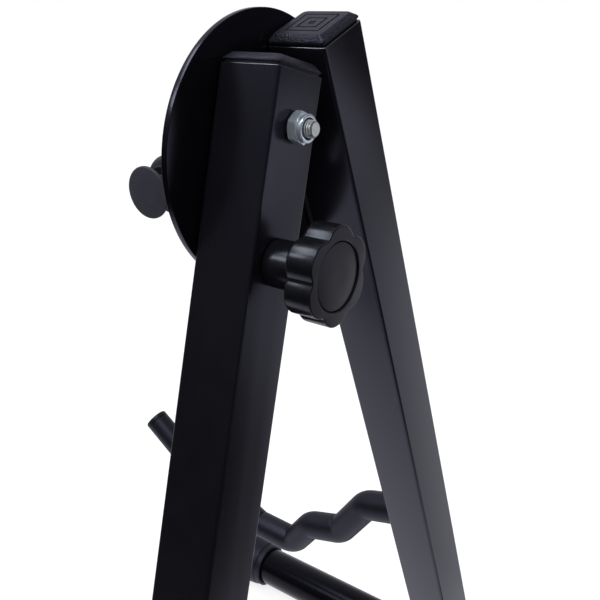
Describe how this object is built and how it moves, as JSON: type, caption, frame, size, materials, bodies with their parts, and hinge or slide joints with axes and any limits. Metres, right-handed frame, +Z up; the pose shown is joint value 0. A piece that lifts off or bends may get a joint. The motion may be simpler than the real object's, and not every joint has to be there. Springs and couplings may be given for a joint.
{
  "type": "guitar stand",
  "caption": "Folding A-frame guitar stand of black square tube with a hinge disc, clamp knob, wave-shaped rubber arms, padded back rest and rubber boots.",
  "frame": {"origin": "on the floor, at the middle of the open stand's bounding box", "axes": "+Z up; X along the hinge bolt, with the arms and rest on the -X side; Y across the spread of the legs, with the fixed leg at +Y"},
  "size_m": [0.3152, 0.3282, 0.446],
  "materials": {
    "black_powder_coat": "satin powder coat",
    "gloss_black_coat": "gloss powder coat",
    "black_cap_plastic": "fine-grained moulded plastic",
    "black_knob_plastic": "satin moulded plastic",
    "black_rubber": "matt",
    "grey_rubber": "matt, dark grey",
    "zinc_plate": "bright zinc plate",
    "black_nylon": "smooth black nylon",
    "brass": "plain"
  },
  "bodies": {
    "fixed_frame": {"fixed_leg_tube": "black_powder_coat", "fixed_leg_cap": "black_cap_plastic", "hinge_disc": "gloss_black_coat", "fixed_foot_tube": "black_powder_coat", "fixed_foot_front_boot": "black_rubber", "fixed_foot_rear_boot": "black_rubber", "fixed_arm_rod": "black_powder_coat", "fixed_arm_sleeve": "black_rubber", "fixed_arm_tip": "black_rubber", "rest_post": "black_powder_coat", "rest_bar": "black_powder_coat", "rest_sleeve": "grey_rubber", "rest_left_ring": "black_rubber", "rest_right_ring": "black_rubber", "rest_left_button": "grey_rubber", "rest_right_button": "grey_rubber"},
    "folding_leg": {"folding_leg_tube": "black_powder_coat", "folding_leg_cap": "black_cap_plastic", "folding_foot_tube": "black_powder_coat", "folding_foot_front_boot": "black_rubber", "folding_foot_rear_boot": "black_rubber", "folding_arm_rod": "black_powder_coat", "folding_arm_sleeve": "black_rubber", "folding_arm_tip": "black_rubber", "pivot_bolt": "zinc_plate", "pivot_head_washer": "zinc_plate", "pivot_lock_nut": "zinc_plate", "lock_nut_nylon_ring": "black_nylon", "pivot_slip_washer": "black_nylon", "clamp_slip_washer": "black_nylon", "clamp_bolt": "zinc_plate"},
    "knob": {"clamp_knob": "black_knob_plastic", "knob_face_cap": "black_knob_plastic", "knob_threaded_insert": "brass"}
  },
  "joints": [
    {"name": "leg_fold", "type": "hinge", "parent": "fixed_frame", "child": "folding_leg", "pos_m": [0.05963, -0.02031, 0.40934], "axis": [1, 0, 0], "range_deg": [0, 33]},
    {"name": "knob_turn", "type": "hinge", "parent": "folding_leg", "child": "knob", "pos_m": [0.05963, -0.03411, 0.3663], "axis": [1, 0, 0], "continuous": true}
  ]
}
